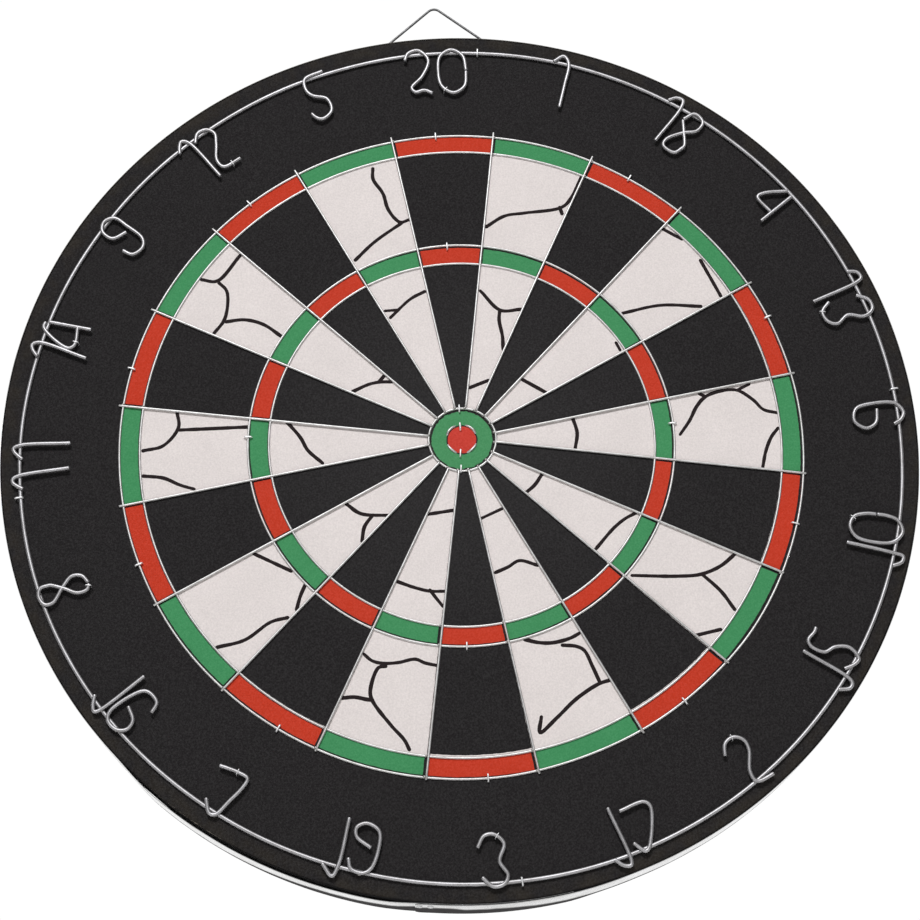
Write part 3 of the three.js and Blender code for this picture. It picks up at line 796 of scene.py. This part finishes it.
def face_sheet():
    """The face: a fine disc with a slightly uneven front and a softened edge."""
    angles = once_round(240)
    edge, fall = 1.0, 0.6  # how wide the softened edge is, and how far back it drops
    radii = [1.2, *range(4, 226, 3), FACE_RADIUS - edge]
    profile = [(radius, 0.0) for radius in radii]
    for share in (0.3, 0.6, 0.85, 1.0):
        turn = share * math.pi / 2
        profile.append((FACE_RADIUS - edge + edge * math.sin(turn),
                        -fall * (1 - math.cos(turn))))
    rows = []
    for radius, height in profile:
        row = []
        for clockwise in angles:
            lump = noise.noise(on_dial(clockwise, radius) / 30)
            fade = 1 - smooth_step((radius - 200) / 25)
            swell = rim_swell(clockwise) * smooth_step((radius - 220) / 6)
            row.append(on_dial(clockwise, radius + swell, height + 0.1 * lump * fade))
        rows.append(row)
    behind = FACE_FRONT - FACE_BACK
    rows.append([on_dial(clockwise, FACE_RADIUS + rim_swell(clockwise), behind)
                 for clockwise in angles])
    rows.append([on_dial(clockwise, radii[0], behind) for clockwise in angles])
    shape = Shape()
    shape.skin(rows)
    make_piece("face_sheet", shape, dial_paint(), stands_for=["flocked_face"])


def crack_line(shape, points):
    """A drawn line: a low ridge of ink with round ends and a slightly uneven width."""
    half_width = 0.95
    proud = 0.12
    across = (-1.0, -0.7, 0.0, 0.7, 1.0)
    lift = (0.0, 0.8, 1.0, 0.8, 0.0)
    route = smooth_route(points, 1.2)
    first, last = route[0], route[-1]
    stations = [(point, 1.0) for point in route]
    for reach, narrowing in ((0.5, 0.87), (0.8, 0.6), (0.97, 0.25)):
        shift = reach * half_width
        stations.insert(0, (first + (first - route[1]).normalized() * shift, narrowing))
        stations.append((last + (last - route[-2]).normalized() * shift, narrowing))
    rows = []
    for i, (point, narrowing) in enumerate(stations):
        ahead = stations[min(i + 1, len(stations) - 1)][0]
        behind = stations[max(i - 1, 0)][0]
        side = (ahead - behind).cross(FORWARD).normalized()
        width = half_width * narrowing * (1 + 0.15 * noise.noise(point / 3))
        front = [point + side * width * a + FORWARD * proud * h for a, h in zip(across, lift)]
        back = [point + side * width * a - FORWARD * proud for a in (1.0, -1.0)]
        rows.append(front + back)
    shape.skin(rows)


def cracks():
    ink = ink_paint()
    for number, lines in CRACKS.items():
        shape = Shape()
        middle = sector_angle(number)
        for line in lines:
            crack_line(shape, [on_dial(middle + offset, radius) for radius, offset in line])
        make_piece(f"cracks_{number}", shape, ink)


def back_sheet():
    """The backing paper, pressed a little into the turns of the coil."""
    angles = once_round(180)
    radii = [1.5, *range(4, 226, 2), 227, FACE_RADIUS - 0.2]
    rows = []
    for radius in radii:
        row = []
        for clockwise in angles:
            wander = 2.2 * ripple(clockwise, 1.3, 4.0)
            wave = math.sin(radius * 0.7 + wander + math.radians(clockwise))
            sink = 0.06 + 0.05 * wave + 0.12 * noise.noise(Vector((radius / 40, clockwise / 50, 2)))
            point = on_dial(clockwise, radius)
            row.append(Vector((point.x, -max(sink, 0.0), point.z)))
        rows.append(row)
    for radius in (radii[-1], radii[0]):
        row = [on_dial(clockwise, radius) for clockwise in angles]
        rows.append([Vector((point.x, BACK_PAPER_FRONT, point.z)) for point in row])
    shape = Shape()
    shape.skin(rows)
    make_piece("back_sheet", shape, back_paper_paint(), stands_for=["back_paper"])


# Rim band

BAND_THICKNESS = 0.4
BAND_CLEARANCE = 0.3
BAND_CORNER = 3.0
BAND_DEPTH = -FACE_FRONT
LAP_GAP = 0.12


def band_radius(along, depth):
    """Inner radius of the band, `along` degrees from its outer end and `depth` from the front."""
    clockwise = BAND_SEAM - along
    climb = smooth_step((along - BAND_LAP) / BAND_RAMP)
    radius = FACE_RADIUS + BAND_CLEARANCE + (BAND_THICKNESS + LAP_GAP) * (1 - climb)
    radius += rim_swell(clockwise) + 0.05 * ripple(clockwise, 3.0, 1.0)
    radius += 0.04 * noise.noise(Vector((along / 3, depth / 8, 0)))
    loose = 1.4 * bump(clockwise % 360, 193, 222, 7)  # it stands off the board beside the lap
    flared = 0.6 * bump(clockwise % 360, 171, 187, 5)  # and the lap stands off it at the back
    return radius + loose + flared * depth / BAND_DEPTH


def band_strip():
    """One strip from its outer end at the seam, once round and under itself to the inner end."""
    length = 360 + BAND_LAP
    steps = [0, 0.05, 0.12, 0.25, 0.4, 0.55, 0.7, 0.85]  # degrees, close at the rounded corners
    steps += [1 + 0.8 * k for k in range(int(length / 0.8) - 2)]
    steps += [length - 0.4, length]
    shares = (0, 0.01, 0.04, 0.12, 0.25, 0.4, 0.55, 0.7, 0.85, 0.96, 0.99, 1)
    rows = []
    for along in steps:
        from_tip = math.radians(along) * FACE_RADIUS
        inset = 0.0
        if from_tip < BAND_CORNER:
            inset = BAND_CORNER - math.sqrt(BAND_CORNER ** 2 - (BAND_CORNER - from_tip) ** 2)
        row = []
        for side, order in ((1, shares), (0, shares[::-1])):
            for share in order:
                depth = inset + share * (BAND_DEPTH - 2 * inset)
                rounding = 0.12 if share in (0, 1) else 0.03 if share in (0.01, 0.99) else 0.0
                radius = band_radius(along, depth) + side * (BAND_THICKNESS - 2 * rounding) + rounding
                point = on_dial(BAND_SEAM - along, radius)
                row.append(Vector((point.x, FACE_FRONT + depth, point.z)))
        rows.append(row)
    shape = Shape()
    shape.skin(rows)
    make_piece("band_strip", shape, band_paint(), stands_for=["rim_band"], crease=35)


def tacks():
    """Domed tacks through the lap."""
    for side in ("left", "right"):
        node = "band_tack_" + side
        clockwise, _ = dial_place(node_middle(node))
        away = outward(clockwise)
        seat = away * (band_radius(BAND_SEAM - clockwise, 6) + BAND_THICKNESS)
        seat.y = node_middle(node).y
        place = Matrix.Translation(seat) @ away.to_track_quat("Z", "Y").to_matrix().to_4x4()
        # (radius, height) from the tip of the shank to the top of the dome
        profile = [(0.05, -9), (0.35, -8), (0.6, -6.5), (0.6, -0.1), (1.55, -0.05), (1.6, 0.08),
                   (1.45, 0.3), (1.1, 0.48), (0.6, 0.6), (0.15, 0.64)]
        shape = Shape()
        shape.turned(profile, 24, place)
        make_piece("tack_" + side, shape, TACK, stands_for=[node])


# Spider

RADIAL_OVERHANG = 2.0


def spider_rings():
    """The six rings, from the doubles to the bull."""
    for seed, (ring, radius) in enumerate(RING_RADII.items()):
        points = []
        for clockwise in once_round(360 if radius > 50 else 96):
            height = RING_HEIGHT + 0.1 * ripple(clockwise, 4.0, seed + 20)
            if ring == "inner_bull":  # pressed into the flock at four places
                height -= 1.1 * smooth_step(0.6 + 0.6 * math.cos(math.radians(4 * clockwise)))
            points.append(on_dial(clockwise, radius + ring_stray(ring, clockwise), height))
        shape = Shape()
        shape.wire(points, WIRE_RADIUS, sides=14, looped=True, normal=FORWARD)
        make_piece(ring + "_ring", shape, SPIDER, stands_for=["ring_wire_" + ring])


def radial_wires():
    """Twenty straight wires over the rings, cut to slightly different lengths."""
    for index, number in enumerate(DIAL_ORDER):
        after = DIAL_ORDER[(index + 1) % len(DIAL_ORDER)]
        clockwise = (index + 0.5) * SECTOR
        inner_stray, outer_stray = RADIAL_STRAYS[index]
        vary = noise.noise(Vector((index * 1.7, 0.5, 3.0)))
        start = RING_RADII["outer_bull"] + ring_stray("outer_bull", clockwise) + 0.3 * vary
        end = RING_RADII["double_outer"] + RADIAL_OVERHANG + 0.3 * vary
        end += 0.4 * math.cos(math.radians(clockwise))  # the top wires are the longest
        points = []
        for k in range(41):
            radius = start + (end - start) * k / 40
            bend = 0.12 * noise.noise(Vector((radius / 60, index, 0)))
            share = radius / RING_RADII["double_outer"]
            bend += (inner_stray + (outer_stray - inner_stray) * share) / 10
            sag = 0.1 * noise.noise(Vector((radius / 35, index, 5)))
            swing = math.degrees(bend / radius)
            points.append(on_dial(clockwise + swing, radius, RADIAL_HEIGHT + sag))
        shape = Shape()
        shape.wire(points, WIRE_RADIUS, normal=FORWARD)
        make_piece(f"radial_{number}_{after}", shape, SPIDER,
                   stands_for=[f"radial_wire_{number}_{after}"])


def spider_welds():
    """Small spot welds where the radial wires cross the rings."""
    shape = Shape()
    for index in range(len(DIAL_ORDER)):
        clockwise = (index + 0.5) * SECTOR
        for ring, radius in RING_RADII.items():
            if ring == "inner_bull":
                continue
            height = RING_HEIGHT + WIRE_RADIUS - 0.05
            size = 0.72 + 0.12 * noise.noise(Vector((index, radius, 1)))
            shape.blob(on_dial(clockwise, radius, height), size, 0.5)
    make_piece("spider_welds", shape, WELD)


# Staples

WIDEST_HALF_CROWN = 2.25


def staple(shape, clockwise, radius, top, wire, half_crown, turn=0.0, leg=STAPLE_LEG):
    """A staple over the face whose crown's top is `top` high, turned from the dial's radius."""
    middle = on_dial(clockwise, radius)
    along = outward(clockwise + turn)
    height = top - wire / 2
    reach = half_crown - wire / 2
    corners = [middle + along * across + FORWARD * out for across, out in
               ((-reach, -leg), (-reach, height), (reach, height), (reach, -leg))]
    shape.wire(rounded_route(corners, 0.7), wire / 2, normal=along.cross(FORWARD))


def staples():
    """The staples that the CAD has, each at its own node's place."""
    ring_top = RING_HEIGHT + WIRE_RADIUS
    number_ring_top = NUMBER_RING_HEIGHT + NUMBER_WIRE_RADIUS
    for node in sorted(frame["nodes"]):
        if not node.startswith("staple_"):
            continue
        clockwise, radius = dial_place(node_middle(node))
        radius -= BULL_STAPLE_SLIPS.get(node, 0)
        top = number_ring_top if "number_ring" in node else ring_top
        low, high = node_box(node)
        half_crown = min(math.hypot(high.x - low.x, high.z - low.z) / 2, WIDEST_HALF_CROWN)
        tilt = 3 * noise.noise(Vector((clockwise, radius, 0.5)))
        shape = Shape()
        staple(shape, clockwise, radius, top + 0.9 * STAPLE_WIRE, STAPLE_WIRE, half_crown, tilt)
        make_piece(node.replace("staple_", "held_"), shape, STAPLE,
                   stands_for=[node])


# Number ring

def figure_point(number, across, out):
    """A point of a number's figures, moved by what they stray."""
    clockwise = sector_angle(number)
    middle = on_dial(clockwise, NUMBER_RING_RADIUS, FIGURE_HEIGHT)
    stray_across, stray_out = FIGURE_STRAYS[DIAL_ORDER.index(number)]
    return (middle + (across + stray_across / 10) * outward(clockwise + 90)
            + (out + stray_out / 10) * outward(clockwise))


def figure_routes(number):
    return [smooth_route([figure_point(number, *point) for point in line], 0.9)
            for line in FIGURES[number]]


def number_ring():
    """The round wire that the figures are welded to."""
    points = []
    for clockwise in once_round(540):
        radius = NUMBER_RING_RADIUS + ring_stray("number", clockwise)
        height = NUMBER_RING_HEIGHT + 0.1 * ripple(clockwise, 5, 7)
        points.append(on_dial(clockwise, radius, height))
    shape = Shape()
    shape.wire(points, NUMBER_WIRE_RADIUS, sides=16, looped=True, normal=FORWARD)
    make_piece("number_ring_wire", shape, NUMBER, stands_for=["number_ring"])


def figures():
    for number in DIAL_ORDER:
        shape = Shape()
        for route in figure_routes(number):
            shape.wire(route, FIGURE_WIRE_RADIUS, sides=14, normal=FORWARD)
        make_piece(f"figure_{number}", shape, NUMBER)


def figure_welds():
    """A weld wherever a figure's wire comes closest to the number ring."""
    shape = Shape()
    height = NUMBER_RING_HEIGHT + NUMBER_WIRE_RADIUS - 0.25
    for number in DIAL_ORDER:
        for route in figure_routes(number):
            gaps = [abs(dial_place(point)[1] - NUMBER_RING_RADIUS) for point in route]
            for i in range(1, len(route) - 1):
                closest = gaps[i] <= gaps[i - 1] and gaps[i] < gaps[i + 1]
                if closest and gaps[i] < FIGURE_WIRE_RADIUS:
                    clockwise, radius = dial_place(route[i])
                    between = (radius + NUMBER_RING_RADIUS) / 2
                    shape.blob(on_dial(clockwise, between, height), 1.15, 0.75)
    make_piece("figure_welds", shape, WELD)


def figure_staples():
    """Thin staples across single figures, square to the wire where they hold it."""
    wire, half_crown, leg = 0.5, 1.7, 4
    top = FIGURE_HEIGHT + FIGURE_WIRE_RADIUS + 0.4
    for number, place in FIGURE_STAPLES.items():
        spot = figure_point(number, *place)
        route = min(figure_routes(number), key=lambda way: min((p - spot).length for p in way))
        near = min(range(1, len(route) - 1), key=lambda i: (route[i] - spot).length)
        along = route[near + 1] - route[near - 1]
        heading = math.degrees(math.atan2(along.x, along.z)) + 90
        clockwise, radius = dial_place(route[near])
        shape = Shape()
        staple(shape, clockwise, radius, top, wire, half_crown, heading - clockwise, leg)
        make_piece(f"held_figure_{number}", shape, STAPLE)


# Hanger

def lugs():
    for side in ("left", "right"):
        node = "hanger_lug_" + side
        low, high = node_box(node)
        middle = (low + high) / 2
        half = (high.x - low.x) / 2 - LUG_WIRE_RADIUS
        top = high.z - LUG_WIRE_RADIUS
        corners = [Vector((middle.x + across, middle.y, height)) for across, height in
                   ((-half, top - LUG_LEG), (-half, top), (half, top), (half, top - LUG_LEG))]
        shape = Shape()
        shape.wire(rounded_route(corners, 1.9, 8), LUG_WIRE_RADIUS, sides=14, normal=FORWARD)
        make_piece("lug_" + side, shape, LUG, stands_for=[node])


def bail():
    """One wire, with an eye coiled round each lug and a blunt bend where it hangs."""
    hinge = Vector(frame["joints"][0]["pos_m"]) / MM
    apex_height = node_box("hanger_bail")[1].z - BAIL_WIRE_RADIUS + BAIL_RISE
    eye_radius = LUG_WIRE_RADIUS + EYE_PLAY + BAIL_WIRE_RADIUS
    coils = {}
    for side in (-1, 1):
        lug = node_middle("hanger_lug_left" if side < 0 else "hanger_lug_right")
        coil = []
        for k in range(31):
            left_over = 1 - k / 30
            turn = math.radians(-380 * left_over)
            coil.append(Vector((lug.x + BAIL_SLIDE + side * 0.75 * left_over,
                                hinge.y + eye_radius * math.sin(turn),
                                hinge.z + eye_radius * math.cos(turn))))
        coils[side] = coil
    apex = [Vector((BAIL_SLIDE + side * BAIL_APEX_HALF_WIDTH, hinge.y, apex_height))
            for side in (-1, 1)]
    legs = rounded_route([coils[-1][-1], *apex, coils[1][-1]], BAIL_APEX_HALF_WIDTH, 8)
    route = [*coils[-1][:-1], *legs, *coils[1][-2::-1]]
    shape = Shape()
    shape.wire(route, BAIL_WIRE_RADIUS, sides=14)
    make_piece("bail_wire", shape, HANGER, body="hanger",
               stands_for=["hanger_bail"])


# Studio

def aimed(name, data, place, looks_at, roll=0.0):
    """Puts a camera or a lamp in the scene, looking at a point and rolled by some degrees."""
    thing = bpy.data.objects.new(name, data)
    aim = (looks_at - place).to_track_quat("-Z", "Y")
    thing.rotation_mode = "QUATERNION"
    thing.rotation_quaternion = aim @ Quaternion((0, 0, 1), math.radians(roll))
    thing.location = place
    bpy.context.scene.collection.objects.link(thing)
    return thing


def camera():
    """A long lens that looks slightly up from below the board's middle."""
    place = Vector((-30.7, -964.7, -343.1)) * MM
    looks_at = Vector((-1.2, -25, -10.9)) * MM
    data = bpy.data.cameras.new("camera")
    data.sensor_width = 36
    data.lens = 78.6
    data.clip_start = 0.02
    bpy.context.scene.camera = aimed("camera", data, place, looks_at, roll=-3.35)


def key_light():
    """One soft lamp in front of the board and above it."""
    data = bpy.data.lights.new("key", "AREA")
    data.shape = "RECTANGLE"
    data.size, data.size_y = 0.66, 0.53
    data.energy = 83
    aimed("key", data, Vector((-330, -2700, 1950)) * MM, Vector((0, 0, 0)))


def world():
    """A white studio: bright behind, and much darker in front."""
    studio = bpy.data.worlds.new("studio")
    studio.use_nodes = True
    nodes = Nodes(studio.node_tree)
    _, y, z = nodes.split(nodes.node("TexCoord", output="Generated"))
    low_grey, high_grey, white = ((value, value, value, 1) for value in (0.13, 0.24, 1.02))
    front = nodes.mix(nodes.ranged(z, -0.25, 0.35, smooth=True), low_grey, high_grey)
    all_round = nodes.mix(nodes.ranged(y, -0.1, 0.3, smooth=True), front, white)
    nodes.feed(nodes.tree.nodes["Background"].inputs["Color"], all_round)
    bpy.context.scene.world = studio


def floor():
    """A wide flat floor well below the board."""
    shape = Shape()
    rows = [[Vector((radius * math.cos(turn), radius * math.sin(turn), -600))
             for turn in turns(64)]
            for radius in (5, 500, 1000, 1500)]
    shape.skin(rows, capped=False)
    mesh = bpy.data.meshes.new("floor")
    mesh.from_pydata([point * MM for point in shape.vertices], [], shape.faces)
    mesh.materials.append(floor_paint())
    ground = bpy.data.objects.new("floor", mesh)
    bpy.context.scene.collection.objects.link(ground)


def core():
    """The coil keeps its CAD shape, in wound paper."""
    node = frame["nodes"]["paper_coil_core"]
    node.data.materials.clear()
    node.data.materials.append(wound_paper_paint())


camera()
key_light()
world()
floor()
core()
face_sheet()
cracks()
back_sheet()
band_strip()
tacks()
spider_rings()
radial_wires()
spider_welds()
staples()
number_ring()
figures()
figure_welds()
figure_staples()
lugs()
bail()

bpy.context.scene.view_settings.view_transform = "Standard"
